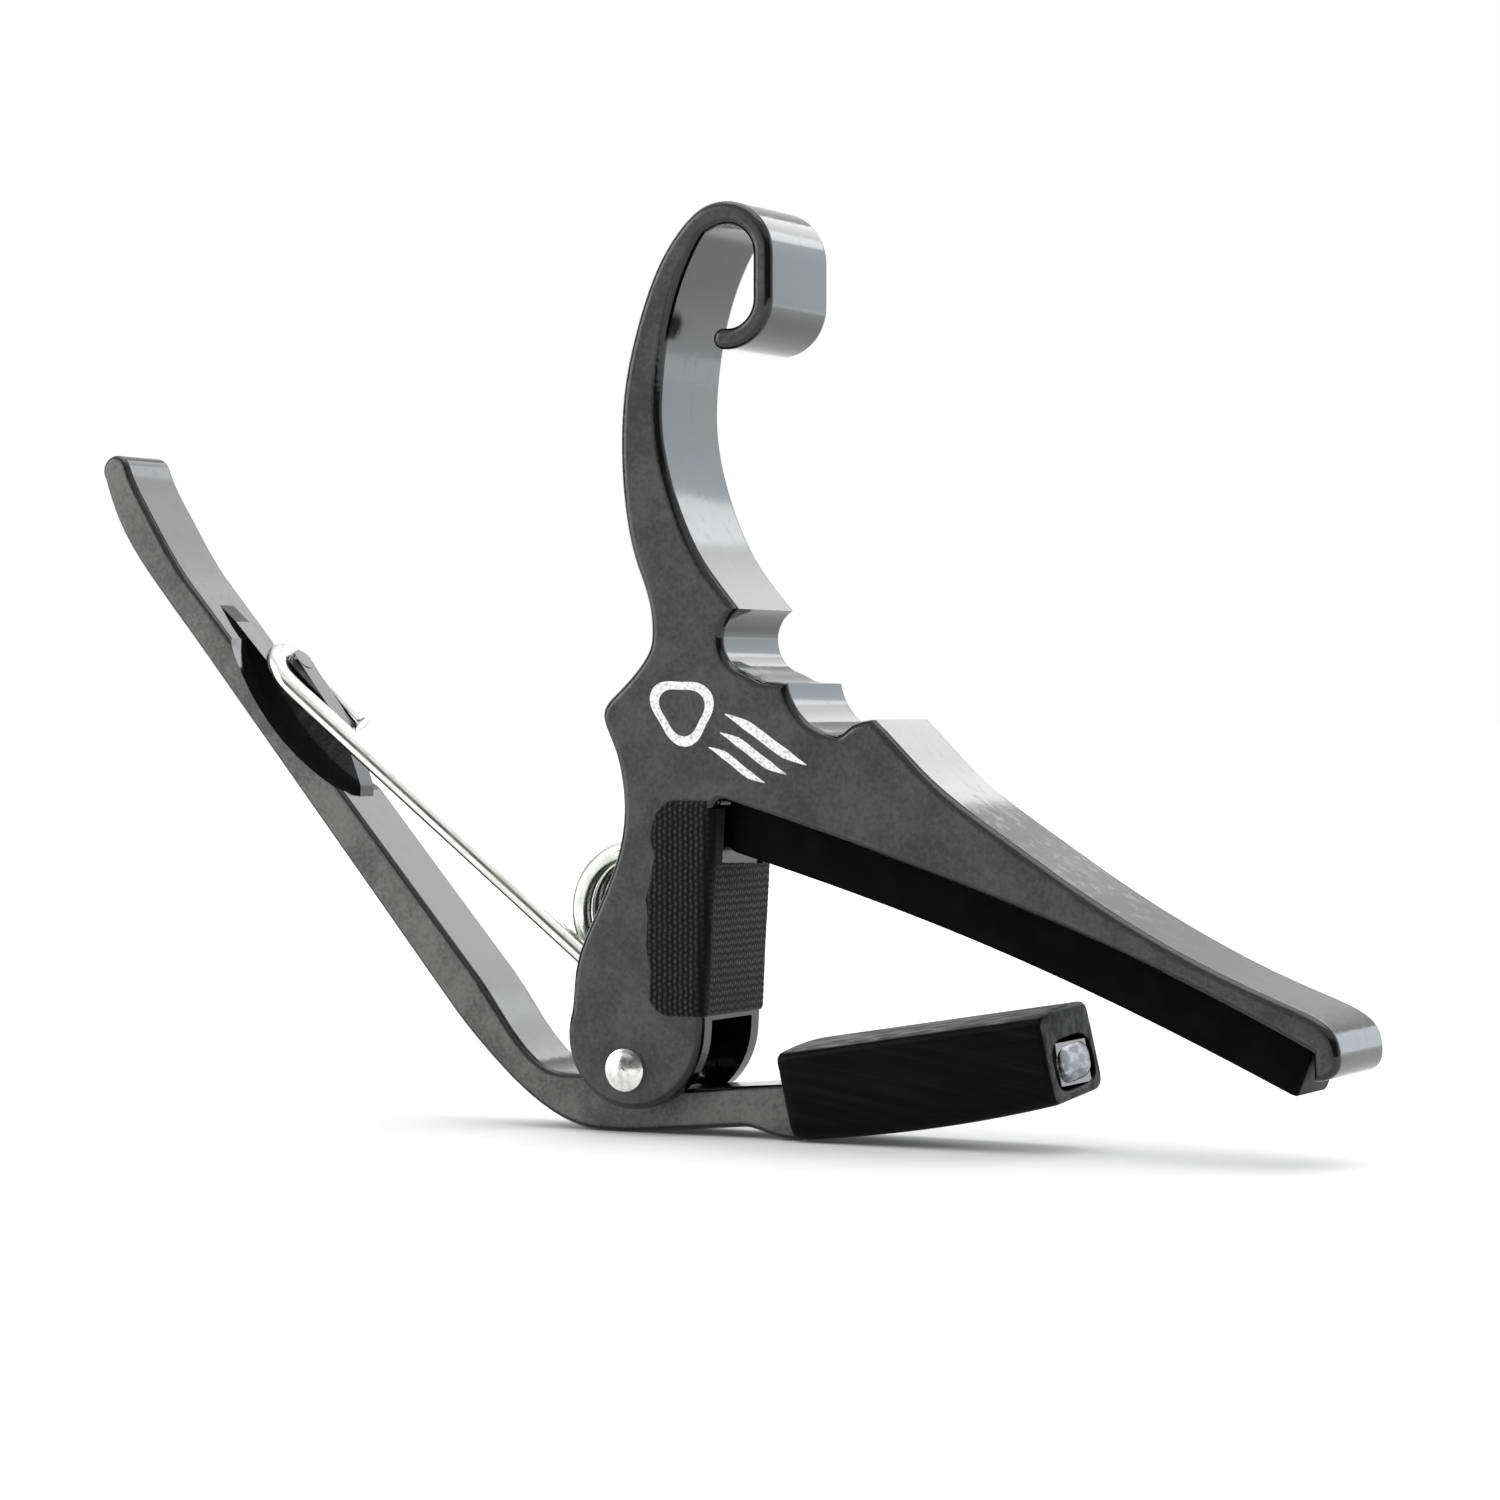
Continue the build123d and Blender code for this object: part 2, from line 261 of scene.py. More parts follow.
def paint(name, sheen_dark, sheen_light, gloss, side_rough, edge_rough, shade_inside_y):
    """Black paint: glossy, with satin roughness and a mottled grey painted sheen on the flat outer sides;
    inner faces nearer the middle keep the gloss black as painted shade.
    """
    s = Shader(name, gloss, edge_rough)
    # faces nearer the middle than the side limit (slot walls, the fin in the scoop) stay gloss black:
    # painted shade in the recesses
    outer = s.math("GREATER_THAN", s.math("ABSOLUTE", s.object_part("Y")), shade_inside_y)
    flat = s.math("MULTIPLY", s.remap(s.math("ABSOLUTE", s.normal_part("Y")), 0.90, 0.995, 0.0, 1.0), outer)
    cloud = s.noise(170, 4, roughness=0.6)
    grain = s.noise(2600, 2)
    mottle = s.math("ADD", s.math("MULTIPLY", cloud, 0.62), s.math("MULTIPLY", grain, 0.38))
    # the lighter mottled grey of the flat sides is painted sheen, a glancing reflection put into the
    # colour; the mottle's grain is the paint's own
    tone = s.mix_color(s.remap(mottle, 0.36, 0.64, 0.0, 1.0), sheen_dark, sheen_light)
    s.link(s.mix_color(flat, gloss, tone), "Base Color")
    scuffs = s.remap(s.noise(900, 5, vector=s.stretch(1, 1, 0.12, 0.6)), 0.52, 0.72, 0.0, 0.10)
    glossy = s.math("ADD", scuffs, edge_rough)
    satin = s.math("ADD", s.math("MULTIPLY", cloud, 0.14), side_rough)
    s.link(s.mix(flat, glossy, satin), "Roughness")
    height = s.math("ADD", grain, s.math("MULTIPLY", s.noise(700, 2), 0.8))
    s.bump(height, s.mix(flat, 0.035, 0.22), 0.00006)
    return s.material


# side colours: the painted sheen's grey, lighter on the lever; inside the side limit the faces keep the
# gloss black as painted shade
frame_paint = paint("frame_paint", sheen_dark=(0.018, 0.018, 0.019), sheen_light=(0.052, 0.052, 0.054),
                    gloss=(0.0030, 0.0031, 0.0034), side_rough=0.34, edge_rough=0.09, shade_inside_y=0.0055)
lever_paint = paint("lever_paint", sheen_dark=(0.055, 0.054, 0.053), sheen_light=(0.13, 0.128, 0.125),
                    gloss=(0.004, 0.004, 0.0045), side_rough=0.38, edge_rough=0.11, shade_inside_y=0.0032)


def bright_wire():
    s = Shader("spring_wire", (0.80, 0.81, 0.79), 0.2, metallic=1.0)
    stain = s.remap(s.noise(420, 4), 0.42, 0.68, 0.0, 1.0)
    s.link(s.mix_color(stain, (0.83, 0.84, 0.82), (0.66, 0.68, 0.64)), "Base Color")
    s.link(s.math("ADD", s.math("MULTIPLY", stain, 0.10), 0.16), "Roughness")
    s.bump(s.noise(2400, 3), 0.10, 0.00003)
    return s.material


def rivet_metal():
    s = Shader("rivet_steel", (0.80, 0.80, 0.80), 0.2, metallic=1.0)
    wear = s.remap(s.noise(1500, 4), 0.40, 0.70, 0.0, 1.0)
    s.link(s.mix_color(wear, (0.84, 0.84, 0.83), (0.55, 0.55, 0.54)), "Base Color")
    s.link(s.math("ADD", s.math("MULTIPLY", wear, 0.16), 0.15), "Roughness")
    s.bump(s.noise(3000, 3), 0.14, 0.00004)
    return s.material


def sleeve_rubber():
    s = Shader("sleeve_rubber", (0.002, 0.002, 0.0022), 0.4, specular=0.07)
    # upward faces turn lighter grey and end faces a little lighter, both in random patches
    top = s.remap(s.normal_part("Z"), 0.72, 0.93, 0.0, 1.0)
    end = s.remap(s.math("ABSOLUTE", s.normal_part("X")), 0.80, 0.94, 0.0, 1.0)
    grey_patches = s.remap(s.noise(900, 5, vector=s.stretch(0.35, 1, 1)), 0.38, 0.66, 0.0, 1.0)
    streak = s.noise(2200, 3, vector=s.stretch(0.025, 0.6, 1, 0.165))
    base = s.mix_color(s.remap(streak, 0.45, 0.72, 0.0, 1.0),
                       (0.0012, 0.0012, 0.0014), (0.0040, 0.0040, 0.0044))
    upward_grey = s.mix_color(grey_patches, (0.085, 0.085, 0.088), (0.24, 0.24, 0.245))
    end_grey = s.mix_color(grey_patches, (0.028, 0.028, 0.029), (0.085, 0.085, 0.087))
    s.link(s.mix_color(top, s.mix_color(end, base, end_grey), upward_grey), "Base Color")
    satin = s.math("ADD", s.math("MULTIPLY", streak, 0.2), 0.28)
    s.link(s.mix(s.math("MAXIMUM", top, end), satin, 0.66), "Roughness")
    s.bump(s.math("ADD", streak, s.math("MULTIPLY", s.noise(2600, 3), 0.5)), 0.25, 0.00008)
    return s.material


def pad_rubber():
    s = Shader("pad_rubber", (0.0015, 0.0015, 0.0017), 0.4, specular=0.04)
    fine = s.noise(2600, 3)
    cloud = s.noise(260, 4)
    tone = s.mix_color(s.remap(cloud, 0.40, 0.66, 0.0, 1.0),
                       (0.0010, 0.0010, 0.0012), (0.0022, 0.0022, 0.0025))
    s.link(tone, "Base Color")
    s.link(s.math("ADD", s.math("MULTIPLY", cloud, 0.22), 0.30), "Roughness")
    s.bump(s.math("ADD", fine, cloud), 0.12, 0.00006)
    return s.material


def strip_cloth():
    s = Shader("strip_fabric", (0.016, 0.016, 0.018), 0.85, specular=0.12)
    s.set("Sheen Weight", 0.12).set("Sheen Roughness", 0.45)
    weave_tone_shade = s.nodes.new("ShaderNodeAttribute")
    weave_tone_shade.attribute_name = "weave_tone_shade"
    fibre = s.noise(5200, 4)
    # the cloth's attribute lightens the raised yarns and darkens the valleys between them and the side
    # flaps: painted shade of the weave
    tone = s.math("MULTIPLY", weave_tone_shade.outputs["Fac"], s.remap(fibre, 0.30, 0.68, 0.35, 1.35))
    s.link(s.mix_color(tone, (0.0016, 0.0016, 0.0020), (0.085, 0.085, 0.088)), "Base Color")
    s.link(s.math("ADD", s.math("MULTIPLY", fibre, 0.2), 0.7), "Roughness")
    s.bump(fibre, 0.6, 0.00007)
    return s.material


def tongue_metal():
    s = Shader("tongue_end", (0.08, 0.085, 0.09), 0.2, metallic=0.9)
    wear = s.remap(s.noise(1500, 4, vector=s.stretch(1, 0.4, 1)), 0.40, 0.70, 0.0, 1.0)
    s.link(s.mix_color(wear, (0.05, 0.052, 0.058), (0.20, 0.21, 0.225)), "Base Color")
    s.link(s.math("ADD", s.math("MULTIPLY", wear, 0.14), 0.16), "Roughness")
    s.bump(s.noise(1900, 3), 0.15, 0.00005)
    return s.material


def print_white():
    s = Shader("printed_mark", (0.86, 0.86, 0.86), 0.5)
    speck = s.remap(s.noise(3000, 4), 0.34, 0.52, 0.0, 1.0)
    s.link(s.mix_color(speck, (0.52, 0.52, 0.52), (0.88, 0.88, 0.88)), "Base Color")
    s.link(s.math("ADD", s.math("MULTIPLY", speck, 0.1), 0.42), "Roughness")
    s.bump(s.noise(4000, 2), 0.1, 0.00002)
    return s.material


wire_mat, rivet_mat, sleeve_mat, pad_mat = bright_wire(), rivet_metal(), sleeve_rubber(), pad_rubber()
cloth_mat, tongue_mat, mark_mat = strip_cloth(), tongue_metal(), print_white()


def repaint(node, material):
    o = frame["nodes"][node]
    o.data.materials.clear()
    o.data.materials.append(material)


repaint("frame", frame_paint)
repaint("lever", lever_paint)
repaint("pivot_rivet", rivet_mat)

# ---- spring: the coil and its fixed leg stay put, the fixed leg running up into the slot roof; the long leg and its hook move with the spring arm ----
WIRE_R = 1.0
COIL_R = 6.15
PITCH = 2.42
END_Y = 2.85
LEG_Y = 2.65
LEG = np.array((-0.79, 0.0, 0.613))      # direction of the long leg
START = np.array((-0.613, 0.0, -0.79))  # from the coil's centre to where the long leg leaves it
TURNS = 2 * END_Y / PITCH
coil_centre = np.array((COIL_X, 0.0, COIL_Z))


def helix(turn):
    """Point of the coil after a number of turns from where the long leg leaves it."""
    a = 2 * math.pi * turn
    across = np.array((0, -END_Y + PITCH * turn, 0))
    return coil_centre + COIL_R * (math.cos(a) * START - math.sin(a) * LEG) + across


COIL_STEPS = 150
FIXED_LEG, FIXED_STEPS = 13.05, 8       # the fixed leg runs straight up into the slot's roof
coil_path = [helix(TURNS * i / COIL_STEPS) for i in range(COIL_STEPS + 1)]
coil_end = coil_path[-1]
coil_path += [coil_end + np.array((0, 0, FIXED_LEG * k / FIXED_STEPS)) for k in range(1, FIXED_STEPS + 1)]
v, f = loft(tube_rings([np.array(at(*p)) * 1000 for p in coil_path], WIRE_R))
coil = outward(mesh_piece("spring_coil_wire", [np.array(p) / 1000 for p in v], f, wire_mat))
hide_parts("spring_coil")
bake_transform(coil)

leg_start = helix(0)
hook_points = [(-39.6, -LEG_Y, 36.1), (-41.6, -2.5, 37.8), (-43.1, -1.65, 39.45), (-43.7, 0.0, 40.25),
               (-43.15, 1.65, 39.75), (-41.6, 2.5, 38.4), (-39.2, LEG_Y, 36.25)]
leg_end = np.array(hook_points[0])
LEG_STEPS, HOOK_STEPS = 40, 10
leg = [leg_start + (leg_end - leg_start) * i / LEG_STEPS for i in range(LEG_STEPS)]
hook = catmull([leg[-4]] + hook_points + [(-35.5, LEG_Y, 32.9)], HOOK_STEPS)[HOOK_STEPS:]
arm_path = leg + hook
v, f = loft(tube_rings([np.array(at(*p)) * 1000 for p in arm_path], WIRE_R))
arm = outward(mesh_piece("spring_arm_wire", [np.array(p) / 1000 for p in v], f, wire_mat))
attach(arm, "spring_arm")
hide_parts("spring_arm")


# ---- rounded rectangle loop ----
def rounded_rect(half, low, high, r_low, r_high, steps=6):
    """Closed loop of (across, up) points, from the low right corner round."""
    loop = []
    corners = ((half, low, r_low, -90), (half, high, r_high, 0),
               (-half, high, r_high, 90), (-half, low, r_low, 180))
    for cx, cy, r, a0 in corners:
        x = cx - math.copysign(r, cx)
        y = cy + r if cy == low else cy - r
        for k in range(steps + 1):
            a = math.radians(a0 + 90 * k / steps)
            loop.append((x + r * math.cos(a), y + r * math.sin(a)))
    return loop


# ---- neck sleeve: rubber block with a window at its end, where the tongue shows ----
ROLL = math.radians(4.5)
SLEEVE_HALF = 5.8
LOW_EDGE_R, TOP_EDGE_R = 1.4, 0.9
TOP_0, TOP_1 = np.array((15.75, 2.03)), np.array((42.9, 6.5))
LOW_0, LOW_M, LOW_1 = np.array((17.3, -6.25)), np.array((31.2, -4.5)), np.array((44.5, -1.6))


def sleeve_point(x, across, up):
    c, s = math.cos(ROLL), math.sin(ROLL)
    return at(x, -s * up + c * across, SLEEVE_HALF * s + c * up + s * across)


def sleeve_section(u):
    """Lowest point, unit rise and height of the side profile at a share u of the length."""
    top = TOP_0 + (TOP_1 - TOP_0) * u
    low = (1 - u) * (1 - 2 * u) * LOW_0 + 4 * u * (1 - u) * LOW_M + u * (2 * u - 1) * LOW_1
    h = float(np.linalg.norm(top - low))
    return low, (top - low) / h, h


def sleeve_ring(u, inset):
    """Cross-section at a share u of the length; inset shrinks its outline."""
    low, rise, h = sleeve_section(u)
    loop = side_loop(h, inset)
    ring = []
    for across, up in loop:
        mid = math.sin(math.pi * min(max(up / h, 0), 1))
        bulge = across * (1 + 0.010 * mid)
        # two fine moulded lines along the sides
        for line in (h - 1.7, 1.0):
            bulge -= math.copysign(0.07, across) * math.exp(-((up - line) / 0.16) ** 2)
        crown = 0.28 * (1 - (across / SLEEVE_HALF) ** 2) if up > h * 0.8 else 0.0
        p = low + rise * (up + crown)
        ring.append(sleeve_point(p[0], bulge, p[1]))
    return ring


def side_loop(h, inset):
    """Outline with extra points down the sides, so that the moulded lines show."""
    base = rounded_rect(SLEEVE_HALF - inset, inset, h - inset,
                        max(LOW_EDGE_R - inset, 0.5), max(TOP_EDGE_R - inset, 0.35))
    out = []
    for i, p in enumerate(base):
        q = base[(i + 1) % len(base)]
        out.append(p)
        gap = math.dist(p, q)
        if gap > 2:
            n = 26 if abs(p[0] - q[0]) < 0.1 else 14
            out += [(p[0] + (q[0] - p[0]) * k / n, p[1] + (q[1] - p[1]) * k / n) for k in range(1, n)]
    return out


END_R = 0.55            # rounding of both ends
LENGTH = 27.2
SPANS = 30              # plain stretches between the rounded ends


def end_rounding(a):
    """Share of the length and inset of the outline, a degrees round an end."""
    a = math.radians(a)
    return END_R * (1 - math.cos(a)) / LENGTH, END_R * (1 - math.sin(a))


rings = []
for a in (0, 30, 60, 90):
    share, inset = end_rounding(a)
    rings.append(sleeve_ring(share, inset))
for k in range(1, SPANS):
    rings.append(sleeve_ring(END_R / LENGTH + (1 - 2 * END_R / LENGTH) * k / SPANS, 0))
for a in (90, 60, 30, 0):
    share, inset = end_rounding(a)
    rings.append(sleeve_ring(1 - share, inset))

# the window: its loop has the same number of points as the outline
WIN_UP, WIN_ACROSS = 3.25, 0.12
WIN_HALF_W, WIN_HALF_H = 4.42, 2.42
WIN_SQUARE, CAP_SQUARE = 3.6, 3.4       # superellipse powers: higher is squarer
outline = side_loop(sleeve_section(1.0)[2], END_R)


def window_loop(half_w, half_h):
    """Loop round the window, one point for each point of the outline, by direction."""
    k = WIN_SQUARE
    loop = []
    for across, up in outline:
        dx, dy = across - WIN_ACROSS, up - WIN_UP
        t = (abs(dx / half_w) ** k + abs(dy / half_h) ** k) ** (-1 / k)
        loop.append((WIN_ACROSS + dx * t, WIN_UP + dy * t))
    return loop


# the mouth is slightly flared; the last ring folds in behind the tongue
for grow, depth in ((0.30, 0.0), (0.08, 0.05), (0.0, 0.22), (0.0, 2.4), (-0.75, 2.45)):
    low, rise, _ = sleeve_section(1 - depth / LENGTH)
    ring = []
    for across, up in window_loop(WIN_HALF_W + grow, WIN_HALF_H + grow):
        p = low + rise * up
        ring.append(sleeve_point(p[0], across, p[1]))
    rings.append(ring)
v, f = loft(rings, close_start=True, close_end=False)
sleeve = outward(mesh_piece("neck_sleeve_rubber", v, f, sleeve_mat))
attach(sleeve, "lever")
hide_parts("neck_sleeve")

# domed worn end of the tongue inside the window
CAP_SIDES = 48
CAP_SUNK = 0.12         # how far the dome sits back from the sleeve's end
end_low, end_rise, _ = sleeve_section(1.0)
end_out = np.array((end_rise[1], -end_rise[0]))
cap_rings = []
for half_w, half_h, out in ((3.75, 1.75, -0.25), (3.72, 1.72, 0.05), (3.45, 1.45, 0.22), (2.9, 1.0, 0.33),
                            (1.8, 0.5, 0.37), (0.3, 0.08, 0.38)):
    ring = []
    for k in range(CAP_SIDES):
        a = 2 * math.pi * k / CAP_SIDES
        t = (abs(math.cos(a)) ** CAP_SQUARE + abs(math.sin(a)) ** CAP_SQUARE) ** (-1 / CAP_SQUARE)
        across, up = WIN_ACROSS + half_w * t * math.cos(a), WIN_UP + half_h * t * math.sin(a)
        p = end_low + end_rise * up + end_out * (out - CAP_SUNK)
        ring.append(sleeve_point(p[0], across, p[1]))
    cap_rings.append(ring)
v, f = loft(cap_rings)
cap = outward(mesh_piece("tongue_end_cap", v, f, tongue_mat))
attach(cap, "lever")

# ---- string pad: satin rubber strip in the bar's groove ----
SEAT = np.array(((10.0, 27.55), (18.7, 25.0), (39.2, 18.4), (58.7, 10.7), (69.3, 5.65)))
SOLE = np.array(((10.0, 21.1), (21.7, 17.7), (37.9, 12.3), (57.4, 4.35), (66.9, 0.0)))
seat_fit = np.polyfit(SEAT[:, 0], SEAT[:, 1], 4)
sole_fit = np.polyfit(SOLE[:, 0], SOLE[:, 1], 4)
PAD_START, SEAT_RUN, SOLE_RUN = 10.0, 59.1, 56.9
PAD_HALF = 4.0
SEAT_GAP = 0.12         # the pad stays this far under the groove's roof
PAD_SPANS = 60
pad_rings = []
stations = [0, 0.003, 0.01] + [0.01 + 0.98 * k / PAD_SPANS for k in range(1, PAD_SPANS)] + [0.99, 0.997, 1]
for i, u in enumerate(stations):
    seat_x, sole_x = PAD_START + SEAT_RUN * u, PAD_START + SOLE_RUN * u
    top = np.array((seat_x, np.polyval(seat_fit, seat_x) - SEAT_GAP))
    low = np.array((sole_x, np.polyval(sole_fit, sole_x)))
    h = float(np.linalg.norm(top - low))
    rise = (top - low) / h
    inset = {0: 0.22, 1: 0.06, len(stations) - 1: 0.22, len(stations) - 2: 0.06}.get(i, 0.0)
    ring = []
    for across, up in rounded_rect(PAD_HALF - inset, inset, h - inset, 0.5, 0.15, 5):
        p = low + rise * up
        ring.append(at(p[0], across, p[1]))
    pad_rings.append(ring)
v, f = loft(pad_rings)
pad = outward(mesh_piece("string_pad_rubber", v, f, pad_mat))
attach(pad, "frame")
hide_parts("string_pad")

# ---- woven strip folded round the front of the lower leg ----
LOW_Z, FRONT_Z, TOP_Z = 5.35, 19.8, 25.9
# height, and how far back the flaps' wavy edge lies there
EDGE = np.array(((5.35, 4.4), (5.9, 3.3), (6.8, 2.6), (9.5, 2.75), (12.0, 2.3), (14.8, 2.5), (16.4, 2.25),
                 (18.3, 2.8), (20.7, 3.2), (22.0, 2.75), (23.2, 2.85), (24.6, 3.35), (25.4, 4.05),
                 (25.9, 4.9)))
STEP = 0.075
OFFSET = 0.17           # inner side of the weave over the painted leg
LEG_CORNER = 0.8        # rounding of the leg's front edges
CORNER = LEG_CORNER + OFFSET
ARC = CORNER * math.pi / 2
FLAP, FRONT = 5.6, 11.1
YARN = 0.105            # height of the yarns
CUT_Z = 25.2            # above this only the flaps are left
WRAP = 4.15             # the flaps reach round the corner this close to the middle, beside the pad


def weave(s, z, front):
    """Height of the yarns: upright wales on the sides, level rows on the front."""
    if front:
        row = 0.5 + 0.5 * math.cos(2 * math.pi * (z + 0.05 * math.sin(5 * s)) / 0.68)
        cross = 0.5 + 0.5 * math.cos(2 * math.pi * (s / 0.46 + 0.5 * round(z / 0.68)))
        return YARN * row ** 0.8 * (0.45 + 0.55 * cross)
    wale = 0.5 + 0.5 * math.cos(2 * math.pi * (s + 0.04 * math.sin(3.1 * z)) / 0.56)
    cross = 0.5 + 0.5 * math.cos(2 * math.pi * (z / 0.62 + 0.5 * round(s / 0.56)))
    return YARN * wale ** 0.8 * (0.40 + 0.60 * cross)


def strip_point(s, z, lift):
    """Point at s across the strip from the front's middle, at height z, lifted off the leg."""
    face = 8.15 + (z - 3.6) * 1.25 / 22.6     # the leg's front leans forward as it rises
    a = abs(s)
    side = -1 if s < 0 else 1
    if a <= FRONT / 2:
        x, y = face + OFFSET + lift, a
    elif a <= FRONT / 2 + ARC:
        t = (a - FRONT / 2) / CORNER
        r = CORNER + lift
        x, y = face - LEG_CORNER + r * math.cos(t), FRONT / 2 + r * math.sin(t)
    else:
        # the flap's width follows the wavy edge
        left = float(np.interp(z, EDGE[:, 0], EDGE[:, 1]))
        t = (a - FRONT / 2 - ARC) / FLAP
        x = (face - LEG_CORNER) + (left - (face - LEG_CORNER)) * t
        y = HALF_W + OFFSET + lift
    return at(x, side * y, z), x, y


half = FRONT / 2 + ARC + FLAP
cols = int(2 * half / STEP)
rows = int((TOP_Z - LOW_Z) / STEP)
verts, index, faces, yarn_tone_shade = [], {}, [], []
for i in range(rows + 1):
    z = LOW_Z + (TOP_Z - LOW_Z) * i / rows
    for j in range(cols + 1):
        s = -half + 2 * half * j / cols
        # only the side flaps rise above the jaw corner
        gap = WRAP if z < CUT_Z else FRONT / 2 + 0.8 * ARC
        if z > FRONT_Z - 0.5 * s / half and abs(s) < gap:
            continue
        on_front = abs(s) < FRONT / 2
        _, x, _ = strip_point(s, z, 0)
        h = weave(s if on_front else x, z, on_front)
        # flat band over the corners, thin at the cut edges
        a = abs(s)
        corner = FRONT / 2 + ARC / 2
        band = min(1.0, abs(a - corner) / 0.9) if a > corner or z < FRONT_Z else 0.0
        rim = max(min(1.0, (half - a) / 0.3, (z - LOW_Z) / 0.25, (TOP_Z - z) / 0.25), 0.0)
        lift = h * (0.25 + 0.75 * band) * rim + 0.10 * rim
        point, _, _ = strip_point(s, z, lift)
        index[i, j] = len(verts)
        verts.append(point)
        # tone of the cloth: raised yarns lighter, the valleys between them darker (painted shade of the
        # weave); the flat corner band nearly black; the side flaps at 0.55 of the front, painted shade
        yarn_tone_shade.append(min(1.0, h / YARN) ** 1.4 * (0.10 + 0.90 * band) * (1.0 if on_front else 0.55))
for i in range(rows):
    for j in range(cols):
        quad = [(i, j), (i, j + 1), (i + 1, j + 1), (i + 1, j)]
        if all(q in index for q in quad):
            faces.append(tuple(index[q] for q in quad))
strip = mesh_piece("throat_strip_cloth", verts, faces, cloth_mat)
weave_tone_shade = strip.data.attributes.new("weave_tone_shade", "FLOAT", "POINT")
weave_tone_shade.data.foreach_set("value", yarn_tone_shade)
thick = strip.modifiers.new("thickness", "SOLIDIFY")
thick.thickness = 0.00016
thick.offset = -1
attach(strip, "frame")
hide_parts("throat_strip")

# ---- plain printed mark on the near side: a plectrum outline and three strings ----
MARK_TURN = math.radians(-29)
MARK_AT = (10.9, 31.9)


def mark_point(u, v, y):
    c, s = math.cos(MARK_TURN), math.sin(MARK_TURN)
    return at(MARK_AT[0] + c * u - s * v, y, MARK_AT[1] + s * u + c * v)


mark_verts, mark_faces = [], []


def add_band(outer, inner, closed):
    """Thin raised band between two lines of points."""
    n = len(outer)
    base = len(mark_verts)
    for y in (-HALF_W - 0.012, -HALF_W + 0.02):
        for line in (outer, inner):
            mark_verts.extend(mark_point(u, v, y) for u, v in line)
    last = n if closed else n - 1
    for k in range(last):
        m = (k + 1) % n
        o0, o1, i0, i1 = base + k, base + m, base + n + k, base + n + m
        O0, O1, I0, I1 = o0 + 2 * n, o1 + 2 * n, i0 + 2 * n, i1 + 2 * n
        mark_faces.extend([(o0, i0, i1, o1), (O0, O1, I1, I0), (o0, o1, O1, O0), (i0, I0, I1, i1)])
    if not closed:
        for k in (0, n - 1):
            mark_faces.append((base + k, base + n + k, base + 3 * n + k, base + 2 * n + k))


def plectrum(scale, n=72):
    """Rounded triangle with its point to the left."""
    out = []
    for k in range(n):
        a = 2 * math.pi * k / n
        r = scale * (1 + 0.13 * math.cos(3 * (a - math.pi)))
        out.append((-5.4 + 1.12 * r * math.cos(a), r * math.sin(a)))
    return out


add_band(plectrum(3.0), plectrum(2.15), True)
for row, (u0, u1, w) in enumerate(((-1.2, 8.6, 0.95), (-0.8, 7.2, 0.85), (-1.2, 5.6, 0.75))):
    v0 = 1.9 - 1.8 * row
    n = 24
    mid = [(u0 + (u1 - u0) * k / n, v0 + 0.16 * math.sin(2 * math.pi * k / n)) for k in range(n + 1)]
    taper = [min(1.0, 3.5 * min(k, n - k) / n + 0.12) for k in range(n + 1)]
    upper = [(u, q + w * t / 2) for (u, q), t in zip(mid, taper)]
    lower = [(u, q - w * t / 2) for (u, q), t in zip(mid, taper)]
    add_band(upper, lower, False)
mark = outward(mesh_piece("printed_mark", mark_verts, mark_faces, mark_mat, smooth=False))
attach(mark, "frame")

# ---- floor, light and camera ----
FLOOR_Y = 2.6
bpy.ops.mesh.primitive_plane_add(size=8, location=(0, FLOOR_Y, 0))
floor = bpy.context.object
floor.name = "floor"
fs = Shader("floor_white", (0.9, 0.9, 0.9), 0.75, specular=0.2)
# light of its own, growing with distance, lifts the far floor to the backdrop's white
fs.set("Emission Color", (1, 1, 1, 1))
floor_x, floor_y = fs.object_part("X"), fs.math("ADD", fs.object_part("Y"), FLOOR_Y)
squares = fs.math("ADD", fs.math("MULTIPLY", floor_x, floor_x), fs.math("MULTIPLY", floor_y, floor_y))
away = fs.math("SQRT", squares)
fs.link(fs.remap(away, 0.12, 0.60, 0.03, 0.55), "Emission Strength")
fs.link(fs.mix_color(fs.noise(600, 4), (0.80, 0.80, 0.80), (0.83, 0.83, 0.83)), "Base Color")
floor.data.materials.append(fs.material)

world = bpy.data.worlds.new("studio")
bpy.context.scene.world = world
world.use_nodes = True
wn, wl = world.node_tree.nodes, world.node_tree.links
background = wn["Background"]
direction = wn.new("ShaderNodeTexCoord")
parts = wn.new("ShaderNodeSeparateXYZ")
wl.new(direction.outputs["Generated"], parts.inputs[0])


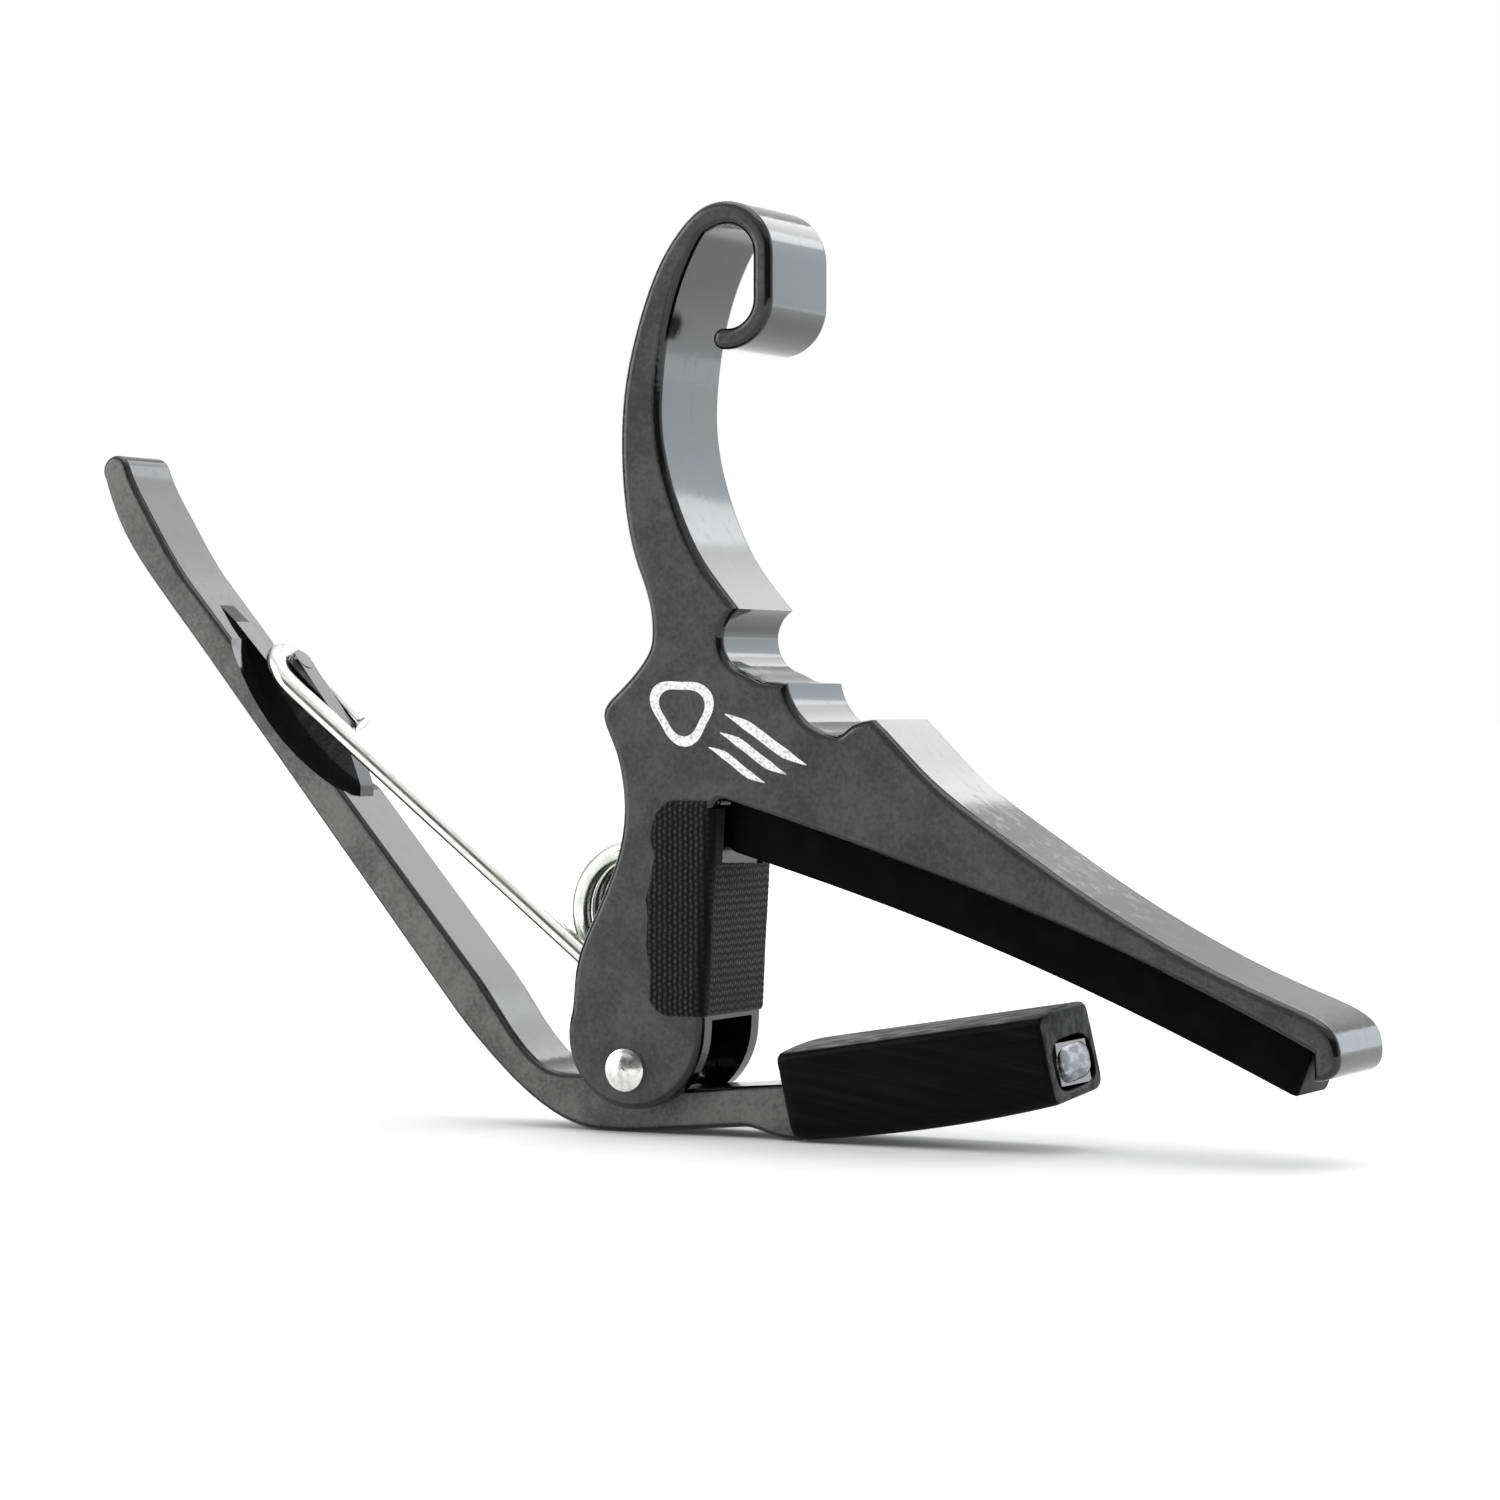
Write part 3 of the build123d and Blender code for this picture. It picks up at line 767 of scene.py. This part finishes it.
def world_ramp(axis, start, end, low, high):
    """World strength that rises smoothly along one axis."""
    ramp = wn.new("ShaderNodeMapRange")
    ramp.interpolation_type = "SMOOTHSTEP"
    for key, value in (("From Min", start), ("From Max", end), ("To Min", low), ("To Max", high)):
        ramp.inputs[key].default_value = value
    wl.new(parts.outputs[axis], ramp.inputs["Value"])
    return ramp.outputs["Result"]


# bright wall behind the object and bright ceiling, dimmer room in front of it
brighter = wn.new("ShaderNodeMath")
brighter.operation = "MAXIMUM"
wl.new(world_ramp("Y", -0.15, 0.30, 0.10, 1.0), brighter.inputs[0])
wl.new(world_ramp("Z", 0.30, 0.62, 0.0, 1.0), brighter.inputs[1])
wl.new(brighter.outputs[0], background.inputs["Strength"])
background.inputs["Color"].default_value = (1.0, 1.0, 1.0, 1)


def area(name, location, target, size, power, color=(1, 1, 1)):
    light = bpy.data.lights.new(name, "AREA")
    light.shape = "RECTANGLE"
    light.size, light.size_y = size
    light.energy = power
    light.color = color
    o = bpy.data.objects.new(name, light)
    bpy.context.scene.collection.objects.link(o)
    o.location = location
    o.rotation_euler = (Vector(target) - Vector(location)).to_track_quat("-Z", "Y").to_euler()
    return o


# places in metres, sizes in metres, power in watts
area("top_light", (0.05, 0.10, 0.85), (0, 0, 0.03), (0.9, 0.7), 4.0)
area("rear_right_panel", (0.62, 0.95, 0.30), (0, 0, 0.05), (0.75, 0.75), 3.4, (0.90, 0.96, 1.0))
area("rear_top_panel", (0.15, 0.85, 0.55), (0, 0, 0.05), (0.5, 0.35), 1.4)
area("left_light", (-0.85, -0.58, 0.35), (0, 0, 0.04), (0.45, 0.7), 5.0)

camera_data = bpy.data.cameras.new("camera")
camera_data.lens = 100
camera_data.sensor_width = 36
camera_data.clip_start = 0.01
camera = bpy.data.objects.new("camera", camera_data)
bpy.context.scene.collection.objects.link(camera)
camera.location = at(193.654, -355.524, 35.488)
camera.rotation_euler = (math.radians(89.31), 0, math.radians(27.3))
bpy.context.scene.camera = camera
bpy.context.scene.view_settings.view_transform = "Standard"
